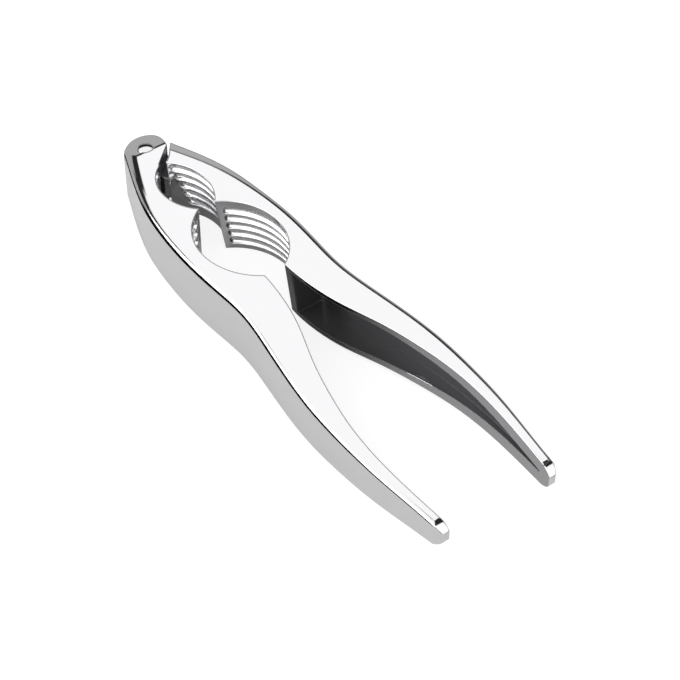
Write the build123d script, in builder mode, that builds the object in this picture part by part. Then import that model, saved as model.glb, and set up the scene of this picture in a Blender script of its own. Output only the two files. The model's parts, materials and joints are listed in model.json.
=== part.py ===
"""A lever nutcracker: two die-cast handles, a fork and a tongue, on one riveted hinge pin.

The nutcracker lies flat. X runs from the hinge towards the handle tips, the front handle lies
towards -Y, the rear handle towards +Y, and Z is the thickness. All outlines are measured from a
point on the mid line beside the hinge pin, and the planes below move them to the part's frame,
whose origin is under the middle of the nutcracker, on the surface it rests on.
"""

import os
from math import asin, degrees, sqrt

from build123d import *

os.makedirs("parts", exist_ok=True)

# ---------------------------------------------------------------- driving dimensions (mm)
thickness = 19.5  # both handles, at the jaws
taper_start = 28.3  # from here the handles get thinner towards their tips
taper_rate = 3.56e-4  # half thickness lost per mm squared past the start

pin_x = -0.5  # the pin's axis, behind the point that outlines are measured from
pin_radius = 2.3
press_clearance = 0.02  # pin in the fork
running_clearance = 0.06  # pin in the tongue
pin_dome = 9.0  # radius of its slightly domed ends

head_end = -8.7  # end of the fork
# Slope of the fork's end, above and below: x, drop below the flat face.
nose = [(1.6, 0.0), (0.8, 0.13), (-30.0, 9.37)]

tongue_thickness = 7.4
slot_clearance = 0.3  # each side of the tongue
eye_radius = 5.0  # round end of the tongue
eye_clearance = 0.4

# A jaw's arc: its centre, whose second value is how far past the mid line it lies, and its radius.
front_small_jaw = (20.6, 7.3, 14.62)
front_large_jaw = (47.9, 7.1, 19.45)
rear_small_jaw = (20.9, 10.4, 16.66)
rear_large_jaw = (47.7, 7.1, 19.35)
jaw_start = 8.8  # both small jaws start here
cusp = 31.3  # the small jaw meets the large jaw
# The two jaws of a handle, and where the large one ends.
front_jaws = (front_small_jaw, front_large_jaw, 64.3)
rear_jaws = (rear_small_jaw, rear_large_jaw, 63.9)
upright = (0.0, 0.0, 0.0)
# How much deeper the rear handle's jaws lie at the bottom than at the top: at the start of the
# small jaw, over both jaws, and at the end of the large jaw, from where it fades out.
rear_lean = (1.2, 3.0, 2.3)
lean_fade = 60.0

groove_count = 5
groove_pitch = 3.07
groove_radius = 1.5
groove_depth = 1.1
# How far the middle groove lies above the middle, and where the cutting ball of the lowest groove
# starts, that of the top groove starts, and that of every groove ends.
small_jaw_grooves = (1.6, 13.3, 10.8, 28.9)
large_jaw_grooves = (-0.4, 33.2, 33.2, 62.0)

# Each outer edge has a steep bevel next to the wall and a slight one next to the flat face. Their
# slopes grow towards the hinge by as much as neck_slopes, on the front handle.
bevel_slopes = (1 / 3, 0.19)
neck_slopes = (0.19, 0.11)
neck_end = 22.0
wall_round = 1.6  # most between the steep bevel and the outer wall
wall_round_share = 1.35  # and the most for a narrow bevel, times its width
blank_reach = 12.0  # the blanks pass the mid line by this, and the jaws are cut from them
blank_over = 0.8  # and their flat faces by this
# A handle's tip: its end, and the lengths of its round above and below.
front_tip = (160.0, 4.2, 7.5)
rear_tip = (161.6, 4.6, 4.6)
# Seen from above: the outer wall turns in at the first point, towards the second value, and the
# end is farthest out at tip_middle. The inner corner is eased over tip_ease.
tip_side = ((155.4, 19.03), 18.4)
tip_middle = 16.8
tip_ease = ((0.0, 15.2), (-2.0, 14.6))

pocket_start = 67.0  # end wall of the channel in each handle
pocket_end = 157.0
pocket_corner = 1.6

middle = thickness / 2
clear = 30.0  # cutters pass the part by this
hinge_x = -(rear_tip[0] + head_end) / 2  # centres the part's length on the origin

plan = Plane(origin=(hinge_x, 0, 0))  # outlines, seen from above
side = Plane(origin=(hinge_x, 0, middle), x_dir=(1, 0, 0), z_dir=(0, -1, 0))  # from the front

# Stations along a handle: x, outer wall, widths of the steep and slight bevels.
front_neck = [
    (-11.0, 3.1, 2.2, 1.5),
    (0.0, 7.2, 2.2, 1.5),
    (6.6, 9.8, 1.8, 1.4),
    (12.8, 12.1, 1.7, 1.2),
    (neck_end, 14.8, 1.6, 0.9),
]
rear_neck = [
    (-11.0, 3.8, 4.5, 0.9),
    (0.0, 8.4, 4.5, 0.9),
    (6.6, 11.1, 4.2, 0.9),
    (12.8, 13.2, 3.6, 0.8),
    (neck_end, 15.4, 2.7, 0.8),
]
grip = [
    (34.0, 16.7, 1.7, 0.8),
    (47.0, 17.5, 1.3, 0.8),
    (60.0, 17.05, 1.1, 0.8),
    (72.0, 16.6, 1.0, 0.8),
    (84.0, 18.1, 1.1, 0.8),
    (97.0, 20.25, 1.0, 0.8),
    (110.0, 21.7, 0.9, 0.8),
    (122.0, 21.9, 0.8, 0.7),
    (135.0, 21.3, 0.6, 0.7),
    (147.0, 19.95, 0.5, 0.6),
    (157.0, 18.8, 0.4, 0.6),
    (166.0, 17.5, 0.4, 0.5),
]

# Inner edge of a handle, from the end of the large jaw to past the tip.
inner_edge = [
    (72.5, 4.1),
    (85.0, 6.9),
    (97.0, 11.2),
    (109.0, 14.5),
    (121.0, 16.7),
    (133.0, 17.4),
    (147.0, 16.75),
    (166.0, 15.0),
]

# Round end of the fork, from the front handle's outer wall to the tip of its beak.
head_outline = [(-2.3, -6.5), (-6.4, -2.9), (head_end, 1.8), (-7.9, 4.8), (-5.8, 6.4), (-2.5, 6.7), (2.4, 5.6)]

# Fork edge over the hinge, from its beak to the small jaw.
fork_edge = [(2.4, 5.6), (2.9, 4.8), (6.6, 0.7), (7.9, -0.7)]

# End of the rear handle's full thickness, from its outer wall to the small jaw.
rear_edge = [(-13.8, 18.1), (5.7, 4.2), (7.2, 2.9)]

# Back wall of the channel, under the outer wall of the handle.
channel_wall = [
    (pocket_start, 14.4),
    (84.0, 15.9),
    (97.0, 18.0),
    (110.0, 19.5),
    (122.0, 19.8),
    (135.0, 19.3),
    (147.0, 18.2),
    (pocket_end, 17.05),
]
# Half height of the channel from its end wall to its run-out.
channel_height = [(pocket_start - 1, 8.0), (88.0, 6.9), (110.0, 5.0), (135.0, 2.3), (pocket_end, 0.3)]

# Neck of the tongue, from the eye to inside the rear handle.
neck = [(2.7, -3.84), (9.4, 1.7), (11.5, 5.0), (5.0, 9.0), (1.5, 7.9), (-3.65, 3.88)]
# Room that the neck sweeps in the fork between fully closed and fully open.
neck_room = [(2.1, -4.75), (10.4, -0.3), (10.4, 14.0), (-4.9, 14.0), (-4.9, 7.5), (-5.9, 0.5)]


def half_thickness(x):
    return middle - taper_rate * max(0.0, x - taper_start) ** 2


def on_hand(points, hand):
    """Points on one handle's side. hand is -1 for the front handle, +1 for the rear one."""
    return [(x, hand * y) for x, y in points]


def jaw_depth(jaw, x):
    """Distance of a jaw's arc from the mid line at x."""
    centre_x, past_middle, radius = jaw
    return sqrt(radius**2 - (x - centre_x) ** 2) - past_middle


# ---------------------------------------------------------------- shared forms
def handle_blank(stations, tip, hand):
    """Outer form of a handle, bevelled along its outer edges and rounded at its tip."""
    with BuildPart() as blank:
        # The sections pass the flat faces, which the side profile then cuts.
        for x, wall, steep_width, slight_width in stations:
            extra = 0.0 if hand > 0 else min(1.0, max(0.0, 1 - x / neck_end))
            steep, slight = [s + extra * more for s, more in zip(bevel_slopes, neck_slopes)]
            low = half_thickness(x) - steep_width * steep - slight_width * slight
            bend = low + steep_width * steep
            over = slight_width + blank_over / slight
            high = bend + over * slight
            section = Plane(origin=(hinge_x + x, 0, middle), x_dir=(0, hand, 0), z_dir=(1, 0, 0))
            with BuildSketch(section):
                with BuildLine():
                    Polyline(
                        (-blank_reach, -high),
                        (wall - steep_width - over, -high),
                        (wall - steep_width, -bend),
                        (wall, -low),
                        (wall, low),
                        (wall - steep_width, bend),
                        (wall - steep_width - over, high),
                        (-blank_reach, high),
                        close=True,
                    )
                make_face()
                wall_corners = vertices().group_by(Axis.X)[-1]
                fillet(wall_corners, min(wall_round, wall_round_share * steep_width))
        loft()

        tip_end, round_above, round_below = tip
        with BuildSketch(side):
            with BuildLine():
                for up, length, first_angle in ((1, round_above, 0), (-1, round_below, 270)):
                    start = tip_end - length
                    height = half_thickness(start)
                    taper_middle = ((taper_start + start) / 2, up * middle)
                    Polyline((-clear, 0), (-clear, up * middle), (taper_start, up * middle))
                    Bezier((taper_start, up * middle), taper_middle, (start, up * height))
                    EllipticalCenterArc((start, 0), length, height, first_angle, arc_size=90)
            make_face()
        extrude(amount=clear, both=True, mode=Mode.INTERSECT)

        turn_in, corner_y = tip_side
        with BuildSketch(plan):
            with BuildLine():
                turn = Bezier(*on_hand([turn_in, (tip_end, corner_y), (tip_end, tip_middle)], hand))
                eased = [(tip_end + x, y) for x, y in tip_ease]
                ease = Bezier(turn @ 1, *on_hand(eased, hand))
                corners = [(-clear, -clear), (-clear, clear), (turn_in[0], clear)]
                Polyline(ease @ 1, *on_hand(corners, hand), turn @ 0)
            make_face()
        extrude(amount=thickness, mode=Mode.INTERSECT)
    return blank.part


def inner_side(edge, jaws, lean, hand):
    """Everything on the inner side of a handle: hinge edge, both jaws and the inner edge."""
    small_jaw, large_jaw, large_jaw_end = jaws
    start_lean, jaw_lean, end_lean = lean
    with BuildPart() as room:
        for share in (1.0, 0.0):
            jaw_points = []
            for x, shift in ((jaw_start, start_lean), (small_jaw[0], jaw_lean), (cusp, jaw_lean)):
                jaw_points.append((x, hand * (jaw_depth(small_jaw, x) + share * shift)))
            for x, shift in ((large_jaw[0], jaw_lean), (large_jaw_end, end_lean)):
                jaw_points.append((x, hand * (jaw_depth(large_jaw, x) + share * shift)))
            grip_points = []
            for x, y in inner_edge:
                faded = end_lean * max(0.0, 1 - (x - large_jaw_end) / lean_fade) ** 2
                grip_points.append((x, hand * (y + share * faded)))
            far_y = -hand * 2 * clear
            far_x = grip_points[-1][0]

            with BuildSketch(plan.offset(thickness * (1 - share))):
                with BuildLine():
                    Polyline(*edge, jaw_points[0])
                    ThreePointArc(*jaw_points[0:3])
                    ThreePointArc(*jaw_points[2:5])
                    Spline(jaw_points[4], *grip_points)
                    Polyline(grip_points[-1], (far_x, far_y), (edge[0][0], far_y), edge[0])
                make_face()
        loft(ruled=True)
    return room.part


def jaw_grooves(jaw, grooves, lean, hand):
    """The parallel grooves of one jaw, cut to an even depth and with round ends."""
    centre_x, past_middle, radius = jaw
    rise, lowest_start, top_start, end = grooves
    path = radius + groove_depth - groove_radius
    with BuildPart() as cuts:
        for number in range(groove_count):
            height = middle + rise + (number - (groove_count - 1) / 2) * groove_pitch
            centre_y = hand * (lean[1] * (1 - height / thickness) - past_middle)
            start = lowest_start + (top_start - lowest_start) * number / (groove_count - 1)
            turns = [degrees(asin((x - centre_x) / path)) for x in (start, end)]
            first_angle = 90 - turns[1] if hand > 0 else turns[0] - 90
            with Locations(Location((hinge_x + centre_x, centre_y, height), (0, 0, first_angle))):
                Torus(path, groove_radius, major_angle=turns[1] - turns[0], align=None)
            for x in (start, end):
                ball_y = centre_y + hand * sqrt(path**2 - (x - centre_x) ** 2)
                with Locations((hinge_x + x, ball_y, height)):
                    Sphere(groove_radius)
    return cuts.part


def channel(hand):
    """The long pocket in the inner side of a handle, tapering to nothing at the tip."""
    with BuildPart() as pocket:
        with BuildSketch(plan):
            with BuildLine():
                back = Spline(*on_hand(channel_wall, hand))
                Polyline(back @ 1, (pocket_end, 0), (pocket_start, 0), back @ 0)
            make_face()
        extrude(amount=thickness)
        back_corner = pocket.edges().filter_by(Axis.Z).group_by(Axis.X)[0].sort_by(Axis.Y)
        fillet(back_corner[-1 if hand > 0 else 0], pocket_corner)
        with BuildSketch(side):
            with BuildLine():
                roof = Spline(*channel_height)
                floor = Spline(*[(x, -half) for x, half in channel_height])
                Line(roof @ 0, floor @ 0)
                Line(roof @ 1, floor @ 1)
            make_face()
        extrude(amount=clear, both=True, mode=Mode.INTERSECT)
    return pocket.part


def cast_handle(stations, tip, edge, jaws, lean, hand):
    """A handle with its jaws, grooves and channel, before its half of the hinge is made."""
    with BuildPart() as handle:
        add(handle_blank(stations, tip, hand))
        add(inner_side(edge, jaws, lean, hand), mode=Mode.SUBTRACT)
        for jaw, grooves in zip(jaws[:2], (small_jaw_grooves, large_jaw_grooves)):
            add(jaw_grooves(jaw, grooves, lean, hand), mode=Mode.SUBTRACT)
        add(channel(hand), mode=Mode.SUBTRACT)
    return handle.part


# ---------------------------------------------------------------- front handle, with the fork
slot_height = tongue_thickness + 2 * slot_clearance

with BuildPart() as front_handle:
    add(cast_handle(front_neck + grip, front_tip, fork_edge, front_jaws, upright, -1))

    # Round end of the fork.
    with BuildSketch(plan):
        with BuildLine():
            outline = Spline(*head_outline)
            beak_x = head_outline[-1][0]
            corners = [(beak_x, clear), (-clear, clear), (-clear, -clear), (0, -clear)]
            Polyline(outline @ 1, *corners, outline @ 0)
        make_face()
    extrude(amount=thickness, mode=Mode.SUBTRACT)

    with BuildSketch(side):
        with BuildLine():
            Polyline(*[(x, middle - drop) for x, drop in nose], (nose[-1][0], middle), close=True)
        make_face()
        mirror(about=Plane.XZ)
    extrude(amount=clear, both=True, mode=Mode.SUBTRACT)

    # Slot for the tongue, and the bore that grips the pin.
    with BuildSketch(plan.offset(middle - slot_height / 2)):
        with Locations((pin_x, 0)):
            Circle(eye_radius + eye_clearance)
        with BuildLine():
            Polyline(*neck_room, close=True)
        make_face()
    extrude(amount=slot_height, mode=Mode.SUBTRACT)
    with BuildSketch(plan):
        with Locations((pin_x, 0)):
            Circle(pin_radius + press_clearance)
    extrude(amount=thickness, mode=Mode.SUBTRACT)

front_handle.part.label = "front_handle"
export_step(front_handle.part, "parts/front_handle.step")


# ---------------------------------------------------------------- rear handle, with the tongue
with BuildPart() as rear_handle:
    add(cast_handle(rear_neck + grip, rear_tip, rear_edge, rear_jaws, rear_lean, 1))

    with BuildSketch(plan.offset(middle - tongue_thickness / 2)):
        with Locations((pin_x, 0)):
            Circle(eye_radius)
        with BuildLine():
            Polyline(*neck, close=True)
        make_face()
    extrude(amount=tongue_thickness)
    with BuildSketch(plan):
        with Locations((pin_x, 0)):
            Circle(pin_radius + running_clearance)
    extrude(amount=thickness, mode=Mode.SUBTRACT)

rear_handle.part.label = "rear_handle"
export_step(rear_handle.part, "parts/rear_handle.step")


# ---------------------------------------------------------------- hinge pin
pin_plane = Plane(origin=(hinge_x + pin_x, 0, middle), x_dir=(1, 0, 0), z_dir=(0, -1, 0))
dome_angle = degrees(asin(pin_radius / pin_dome))

with BuildPart() as hinge_pin:
    with BuildSketch(pin_plane):
        with BuildLine():
            dome = CenterArc((0, middle - pin_dome), pin_dome, 90 - dome_angle, dome_angle)
            Line(dome @ 0, (pin_radius, 0))
            Line(dome @ 1, (0, 0))
            mirror(about=Plane.XZ)
        make_face()
    revolve(axis=Axis(pin_plane.origin, (0, 0, 1)))

hinge_pin.part.label = "hinge_pin"
export_step(hinge_pin.part, "parts/hinge_pin.step")
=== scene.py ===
"""Looks of the lever nutcracker: chromed die-cast handles on a riveted pin, lying on a pale table.

Chrome shows what stands around it, so half of this script is the studio: a white ceiling with a
dark gap under it, dim walls, and pale paper on a dark table. The camera itself sees them white.
"""

import json
import math

import bpy
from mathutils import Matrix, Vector


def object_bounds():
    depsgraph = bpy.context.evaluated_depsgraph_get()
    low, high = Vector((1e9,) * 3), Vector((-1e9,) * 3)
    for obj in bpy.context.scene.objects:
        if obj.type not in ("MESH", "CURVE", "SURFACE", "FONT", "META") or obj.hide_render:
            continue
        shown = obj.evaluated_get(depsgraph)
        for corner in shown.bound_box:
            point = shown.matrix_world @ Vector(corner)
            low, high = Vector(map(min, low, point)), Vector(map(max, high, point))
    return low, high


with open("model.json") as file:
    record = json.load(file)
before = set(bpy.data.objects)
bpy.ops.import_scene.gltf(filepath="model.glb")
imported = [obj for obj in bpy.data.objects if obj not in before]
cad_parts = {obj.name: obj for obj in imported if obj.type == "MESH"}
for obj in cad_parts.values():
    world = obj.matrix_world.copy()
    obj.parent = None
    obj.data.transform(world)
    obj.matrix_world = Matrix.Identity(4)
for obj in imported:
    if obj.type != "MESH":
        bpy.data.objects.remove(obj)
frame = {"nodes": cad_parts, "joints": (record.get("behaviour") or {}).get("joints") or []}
cad_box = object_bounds()

MM = 0.001
scene = bpy.context.scene
hinge = Vector(frame["joints"][0]["pos_m"])
table_z = cad_box[0].z - 0.1 * MM  # the table's top, just under the nutcracker

COLOUR_A, COLOUR_B = 6, 7  # the two colour sockets of a mix node


# ---------------------------------------------------------------- node helpers
def new_material(name):
    material = bpy.data.materials.new(name)
    material.use_nodes = True
    material.node_tree.nodes.clear()
    return material, material.node_tree


def node(tree, kind, inputs=None, **settings):
    """A node with its settings, whose inputs are linked to sockets or set to values."""
    made = tree.nodes.new(kind)
    for key, value in settings.items():
        setattr(made, key, value)
    for key, value in (inputs or {}).items():
        if isinstance(value, bpy.types.NodeSocket):
            tree.links.new(value, made.inputs[key])
        else:
            made.inputs[key].default_value = value
    return made


def math_node(tree, operation, *values):
    return node(tree, "ShaderNodeMath", dict(enumerate(values)), operation=operation).outputs[0]


def mix(tree, share, first, second, blend="MIX"):
    """Colour mix: the first at share 0, the second at share 1."""
    inputs = {0: share, COLOUR_A: first, COLOUR_B: second}
    return node(tree, "ShaderNodeMix", inputs, data_type="RGBA", blend_type=blend).outputs[2]


def ramp(tree, factor, stops):
    """Colour ramp from (position, grey) stops."""
    made = node(tree, "ShaderNodeValToRGB", {0: factor})
    elements = made.color_ramp.elements
    while len(elements) > 1:
        elements.remove(elements[-1])
    for index, (position, grey) in enumerate(stops):
        element = elements[0] if index == 0 else elements.new(position)
        element.position = position
        element.color = (grey, grey, grey, 1.0)
    return made.outputs[0]


def spread(tree, factor, lowest, highest):
    """Maps 0..1 to lowest..highest."""
    inputs = {"Value": factor, "To Min": lowest, "To Max": highest}
    return node(tree, "ShaderNodeMapRange", inputs).outputs["Result"]


def seen_by_camera(tree, rays):
    """1 for what the camera sees, straight or through glass, and 0 for light and reflections."""
    return math_node(tree, "MAXIMUM", rays.outputs["Is Camera Ray"], rays.outputs["Is Transmission Ray"])


# ---------------------------------------------------------------- plating
EDGE_EASE = 0.6 * MM  # how round the plating makes the sharp edges
PAINTED_SHADE_FADE = 24 * MM  # length over which the painted shade fades out
# The share of the colour left where the painted shade is darkest.
DARKEST_PAINTED_SHADE = 0.25


def shade_fading_along_x(tree, place, colour, shade_until):
    """The colour, darkened as painted shade up to a place along X and full past it."""
    along = node(tree, "ShaderNodeSeparateXYZ", {0: place}).outputs["X"]
    limits = {"Value": along, "From Min": shade_until, "From Max": shade_until + PAINTED_SHADE_FADE, "To Min": DARKEST_PAINTED_SHADE}
    painted_shade_factor = node(tree, "ShaderNodeMapRange", limits).outputs["Result"]
    return mix(tree, 1.0, colour, painted_shade_factor, blend="MULTIPLY")


def chrome(name, colour, roughness, waviness, haze, metallic=1.0, shade_until=None):
    """Nickel-chrome plating over a casting: slightly wavy, with hazes and hairlines from polishing.

    The waviness is the height of the casting's waves in m, and the hazes add up to haze to the roughness.
    """
    material, tree = new_material(name)
    place = node(tree, "ShaderNodeTexCoord").outputs["Object"]

    # Waves about 11 mm long, hazes about 5 mm across, and hairlines about 3 mm long on the handles.
    cast = node(tree, "ShaderNodeTexNoise", {"Vector": place, "Scale": 90.0, "Detail": 2.0})
    hazes = node(tree, "ShaderNodeTexNoise", {"Vector": place, "Scale": 220.0, "Detail": 5.0,
                                              "Roughness": 0.6})
    stretched = node(tree, "ShaderNodeMapping", {"Vector": place, "Scale": (60.0, 900.0, 900.0)})
    hairs = node(tree, "ShaderNodeTexNoise", {"Vector": stretched.outputs[0], "Scale": 6.0, "Detail": 3.0})

    rough = spread(tree, hazes.outputs[0], roughness, roughness + haze)
    rough = math_node(tree, "ADD", rough, spread(tree, hairs.outputs[0], 0.0, haze * 0.5))
    hazy = [value * 0.985 for value in colour]
    base = mix(tree, hazes.outputs[0], (*hazy, 1.0), (*colour, 1.0))
    # Painted shade: the colour is darker up to a place along X, towards the jaw.
    if shade_until:
        base = shade_fading_along_x(tree, place, base, shade_until)

    eased = node(tree, "ShaderNodeBevel", {"Radius": EDGE_EASE}, samples=8)
    wave = node(tree, "ShaderNodeBump", {"Height": cast.outputs[0], "Strength": 1.0, "Distance": waviness,
                                         "Normal": eased.outputs[0]})
    lines = node(tree, "ShaderNodeBump", {"Height": hairs.outputs[0], "Strength": 0.03, "Distance": 2e-6,
                                          "Normal": wave.outputs[0]})
    surface = node(tree, "ShaderNodeBsdfPrincipled", {"Base Color": base, "Metallic": metallic,
                                                      "Roughness": rough, "Normal": lines.outputs[0]})
    node(tree, "ShaderNodeOutputMaterial", {"Surface": surface.outputs[0]})
    return material


# ---------------------------------------------------------------- where the plating is duller and painted darker as shade
# The plating is duller inside the channels, in the hinge and beside the channels' mouths, and its colour is
# darkened there as painted shade.
# Places are in mm from the point beside the pin that the handles' outlines are measured from.
PIN_TO_POINT = 0.5
SLOT_HALF = 4.02  # half height of the fork's slot, and a little more
TONGUE_HALF = 3.7
# Along a handle: x, the channel's mouth and back wall from the mid line, and its half height.
CHANNEL = [
    (66.9, 3.6, 14.4, 8.0),
    (84.0, 6.7, 15.9, 7.1),
    (97.0, 11.2, 18.0, 6.2),
    (110.0, 14.7, 19.5, 5.0),
    (122.0, 16.8, 19.8, 3.7),
    (135.0, 17.35, 19.3, 2.3),
    (147.0, 16.75, 18.2, 1.2),
    (157.1, 15.8, 17.05, 0.3),
]
channel_start = CHANNEL[0][0]
channel_end = CHANNEL[-1][0]
LIP_SHARE = 0.2  # faces inside the channel lie deeper than this share of its depth
BACK_SLACK = 0.3  # and at most this far past its back wall
ROOF_SLACK = 0.5  # and past its roof and floor
JAW_END = 64.2  # the narrow faces beside the channel's mouth start here
MOUTH_SLACK = 0.4  # and lie at most this far past the mouth
START_SLACK = 2.2  # and this much further where they are widest, at the jaw
START_LENGTH = 60.0  # which wears off over this length
TIP_INNER = 17.0  # at the tip, they lie nearer to the mid line than this


def from_hinge(point):
    """A point in mm along the nutcracker, across it, and above its middle."""
    return point.x / MM - (hinge.x / MM + PIN_TO_POINT), point.y / MM, (point.z - hinge.z) / MM


def is_upright(polygon):
    """Whether a face is a wall, not a flat face or a bevel."""
    return abs(polygon.normal.z) < 0.5


def in_fork(polygon):
    """Whether a face of the front handle is a wall of the fork's slot or of its edge over the hinge."""
    x, y, z = from_hinge(polygon.center)
    slot = -4.9 < x < 8.5 and -5.2 < y < 14.0 and abs(z) < SLOT_HALF
    edge = 2.0 < x < 8.2 and -0.9 < y < 5.75 and is_upright(polygon)
    return slot or edge


def on_tongue(polygon):
    """Whether a face of the rear handle is one of the flat faces that turn inside the fork."""
    z = from_hinge(polygon.center)[2]
    return abs(abs(z) - TONGUE_HALF) < 0.05 and abs(polygon.normal.z) > 0.9


def channel_at(x):
    """The channel's mouth, back wall and half height at x, between two stations."""
    for first, last in zip(CHANNEL, CHANNEL[1:]):
        if first[0] <= x < last[0]:
            share = (x - first[0]) / (last[0] - first[0])
            return [a + share * (b - a) for a, b in zip(first[1:], last[1:])]


def in_channel(polygon):
    """Whether a face is a wall, the roof or the floor of a channel."""
    x, y, z = from_hinge(polygon.center)
    if not channel_start <= x < channel_end:
        return False
    mouth, back, half = channel_at(x)
    lip = mouth + LIP_SHARE * (back - mouth)
    return lip < abs(y) < back + BACK_SLACK and abs(z) < half + ROOF_SLACK


def beside_channel(polygon):
    """Whether a face outside the channel is one of the narrow ones around its mouth."""
    x, y, _ = from_hinge(polygon.center)
    if x <= JAW_END:
        return False
    if x >= channel_end:
        return abs(polygon.normal.y) > 0.97 and abs(y) < TIP_INNER
    mouth = channel_at(max(x, channel_start))[0]
    widening = START_SLACK * max(0.0, 1 - (x - JAW_END) / START_LENGTH) ** 2
    return is_upright(polygon) and abs(y) < mouth + MOUTH_SLACK + widening


def dull_and_shade_hidden_faces(name, in_hinge, recess, flange):
    """Gives a handle its duller platings, whose darker colour is partly painted shade. The function in_hinge
    tells its faces inside the hinge.
    """
    mesh = frame["nodes"][name].data
    mesh.materials.append(recess)
    mesh.materials.append(flange)
    flange_index = len(mesh.materials) - 1
    recess_index = flange_index - 1
    for polygon in mesh.polygons:
        if in_channel(polygon) or in_hinge(polygon):
            polygon.material_index = recess_index
        elif beside_channel(polygon):
            polygon.material_index = flange_index


def dress_nutcracker():
    plated = chrome("plated_chrome", (0.80, 0.80, 0.81), roughness=0.02, waviness=1.5e-6, haze=0.03)
    pin_metal = chrome("pin_chrome", (0.76, 0.76, 0.77), roughness=0.03, waviness=1e-6, haze=0.04)
    # Darker platings for the channels, the hinge and the faces beside the channels' mouths: duller plating
    # and painted shade.
    recess = chrome("recess_chrome_painted_shade", (0.14, 0.14, 0.145), roughness=0.14, waviness=4e-6, haze=0.10,
                    metallic=0.6)
    # The flange plating's painted shade deepens towards the jaw.
    flange = chrome("flange_chrome_painted_shade", (0.44, 0.44, 0.45), roughness=0.06, waviness=4e-6, haze=0.05,
                    shade_until=hinge.x + 84 * MM)
    for name, material in (("front_handle", plated), ("rear_handle", plated), ("hinge_pin", pin_metal)):
        for slot in frame["nodes"][name].material_slots:
            slot.material = material
    dull_and_shade_hidden_faces("front_handle", in_fork, recess, flange)
    dull_and_shade_hidden_faces("rear_handle", on_tongue, recess, flange)


# ---------------------------------------------------------------- stage
PER_METRE = 5.0  # a ramp on the floor goes from 0 to 1 over 0.2 m around the middle
FLOOR_GREY = 0.30
CAMERA_GLOW = 0.80  # with the light on the floor, white to the camera
PAPER_GLOW = 0.33  # what reflections see of the paper, besides its light
COVER = 30 * MM  # how near a thing over the paper darkens it


def floor_ramp_place(tree, metres):
    """A place on the floor as a position on a ramp: 0.5 at the middle of the nutcracker."""
    return math_node(tree, "ADD", math_node(tree, "MULTIPLY", metres, PER_METRE), 0.5)


def paper_share(tree):
    """How bright the floor is in reflections: 1 on the paper, and 0 on the dark table beyond it."""
    place = node(tree, "ShaderNodeTexCoord").outputs["Object"]
    split = node(tree, "ShaderNodeSeparateXYZ", {0: place})
    along = floor_ramp_place(tree, split.outputs["X"])
    across = floor_ramp_place(tree, split.outputs["Y"])
    # The paper ends a little in front of the nutcracker.
    paper_edge = ramp(tree, along, [(0.075, 0.105), (0.29, 0.150), (0.50, 0.150), (0.72, 0.175),
                                    (0.90, 0.160)])
    share = ramp(tree, math_node(tree, "ADD", across, paper_edge), [(0.485, 0.0), (0.50, 1.0)])
    # It is dimmer far to the north and to the west.
    share = math_node(tree, "MULTIPLY", share, ramp(tree, across, [(0.72, 1.0), (0.80, 0.5)]))
    from_west = math_node(tree, "ADD", along, 0.3)
    return math_node(tree, "MULTIPLY", share, ramp(tree, from_west, [(0.20, 0.5), (0.27, 1.0)]))


def stage_floor():
    bpy.ops.mesh.primitive_plane_add(size=6.0, location=(0, 0, table_z))
    floor = bpy.context.object
    floor.name = "table"
    material, tree = new_material("table_white")
    rays = node(tree, "ShaderNodeLightPath")
    glossy = rays.outputs["Is Glossy Ray"]
    paper = paper_share(tree)
    # Under the nutcracker the paper is in its shadow.
    covered = node(tree, "ShaderNodeAmbientOcclusion", {"Distance": COVER}, samples=8)
    open_share = ramp(tree, covered.outputs["AO"], [(0.26, 0.03), (0.55, 1.0)])

    visible = math_node(tree, "MAXIMUM", math_node(tree, "SUBTRACT", 1.0, glossy), paper)
    diffuse = node(tree, "ShaderNodeBsdfDiffuse", {"Color": math_node(tree, "MULTIPLY", visible, FLOOR_GREY)})
    mirrored = math_node(tree, "MULTIPLY", glossy, math_node(tree, "MULTIPLY", paper, open_share))
    strength = math_node(tree, "ADD", math_node(tree, "MULTIPLY", seen_by_camera(tree, rays), CAMERA_GLOW),
                         math_node(tree, "MULTIPLY", mirrored, PAPER_GLOW))
    glow = node(tree, "ShaderNodeEmission", {"Strength": strength})
    both = node(tree, "ShaderNodeAddShader", {0: diffuse.outputs[0], 1: glow.outputs[0]})
    node(tree, "ShaderNodeOutputMaterial", {"Surface": both.outputs[0]})
    floor.data.materials.append(material)


# ---------------------------------------------------------------- studio
STUDIO_STRENGTH = 1.3
WHITE = (1.0, 1.0, 1.0, 1.0)


def walls_and_ceiling(tree, east, north, rise):
    """Pale walls, a dark gap and a white ceiling to the north, and white all the way up to the east.

    To the south, bright light stands over a low dark strip.
    """
    # The dark gap reaches higher towards the west than towards the north.
    turned = node(tree, "ShaderNodeClamp", {"Value": north, "Min": -0.3, "Max": 0.4}).outputs[0]
    lifted = math_node(tree, "MULTIPLY", math_node(tree, "SUBTRACT", 0.4, turned), 0.14)
    far_north = ramp(tree, north, [(0.50, 0.0), (0.60, 1.0)])
    lifted = math_node(tree, "ADD", lifted, math_node(tree, "MULTIPLY", far_north, 0.035))
    behind = ramp(tree, math_node(tree, "SUBTRACT", rise, lifted),
                  [(0.0, 0.38), (0.19, 0.34), (0.235, 0.02), (0.385, 0.02), (0.415, 0.91)])
    westward = ramp(tree, math_node(tree, "MULTIPLY", east, -1.0), [(0.74, 0.0), (0.82, 0.09)])
    before = ramp(tree, math_node(tree, "SUBTRACT", rise, westward), [(0.0, 0.02), (0.09, 0.02), (0.13, 1.9)])
    northern = ramp(tree, math_node(tree, "ADD", north, 0.5), [(0.02, 0.0), (0.12, 1.0)])
    sky = mix(tree, northern, before, behind)
    return mix(tree, ramp(tree, east, [(0.35, 0.0), (0.45, 1.0)]), sky, WHITE)


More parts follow.
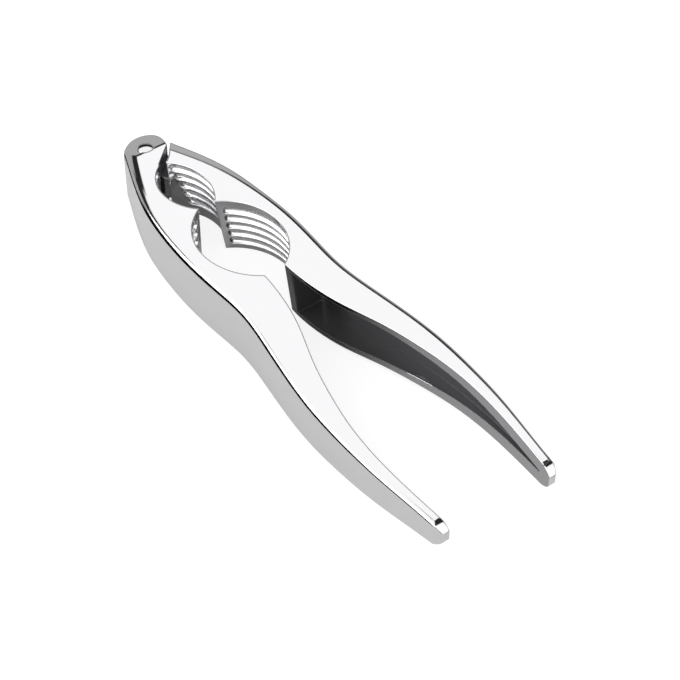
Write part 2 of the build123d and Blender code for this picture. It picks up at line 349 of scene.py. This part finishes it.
def dark_joint(tree, east, north, up):
    """Nearly 0 in a dark joint between two ceiling lights, high in the north, and 1 around it."""
    slant = math_node(tree, "DIVIDE", east, math_node(tree, "MAXIMUM", up, 0.3))
    west_of_it = ramp(tree, math_node(tree, "ADD", slant, 1.0), [(0.60, 1.0), (0.64, 0.02)])
    east_of_it = ramp(tree, slant, [(0.27, 0.0), (0.33, 1.0)])
    south_of_it = ramp(tree, north, [(0.18, 1.0), (0.22, 0.0)])
    under_it = math_node(tree, "SUBTRACT", 1.0, ramp(tree, up, [(0.60, 0.0), (0.66, 1.0)]))
    joint = math_node(tree, "MAXIMUM", west_of_it, east_of_it)
    joint = math_node(tree, "MAXIMUM", joint, south_of_it)
    return math_node(tree, "MAXIMUM", joint, under_it)


def studio_world():
    """White to the camera, and the room to light and reflections."""
    world = bpy.data.worlds.new("studio")
    scene.world = world
    world.use_nodes = True
    tree = world.node_tree
    tree.nodes.clear()
    rays = node(tree, "ShaderNodeLightPath")
    direction = node(tree, "ShaderNodeTexCoord").outputs["Generated"]
    east, north, up = node(tree, "ShaderNodeSeparateXYZ", {0: direction}).outputs
    rise = math_node(tree, "DIVIDE", math_node(tree, "ARCSINE", up), math.pi / 2)  # 1 is overhead

    room = walls_and_ceiling(tree, east, north, rise)
    # The ceiling light is dimmer right overhead, so that the flat faces stand out from above.
    overhead = ramp(tree, rise, [(0.82, 1.0), (0.90, 0.42)])
    dimmed = math_node(tree, "MULTIPLY", dark_joint(tree, east, north, up), overhead)
    light = mix(tree, 1.0, room, dimmed, blend="MULTIPLY")
    studio = node(tree, "ShaderNodeBackground", {"Color": light, "Strength": STUDIO_STRENGTH})
    white = node(tree, "ShaderNodeBackground", {"Color": WHITE, "Strength": 1.0})
    both = node(tree, "ShaderNodeMixShader", {0: seen_by_camera(tree, rays), 1: studio.outputs[0],
                                              2: white.outputs[0]})
    node(tree, "ShaderNodeOutputWorld", {"Surface": both.outputs[0]})


# ---------------------------------------------------------------- camera
CAMERA_PLACE = Vector((394.96, -224.95, 391.16))  # mm from the hinge, and above the table
CAMERA_TURN = (45.0, 0.0, 53.18)  # degrees
LENS = 105.88  # mm, on a sensor 36 mm wide


def add_camera():
    data = bpy.data.cameras.new("camera")
    data.lens = LENS
    data.sensor_width = 36.0
    data.clip_start = 10 * MM
    camera = bpy.data.objects.new("camera", data)
    scene.collection.objects.link(camera)
    camera.location = Vector((hinge.x, hinge.y, 0.0)) + CAMERA_PLACE * MM
    camera.rotation_euler = [math.radians(angle) for angle in CAMERA_TURN]
    scene.camera = camera


dress_nutcracker()
stage_floor()
studio_world()
add_camera()
scene.view_settings.view_transform = "Standard"
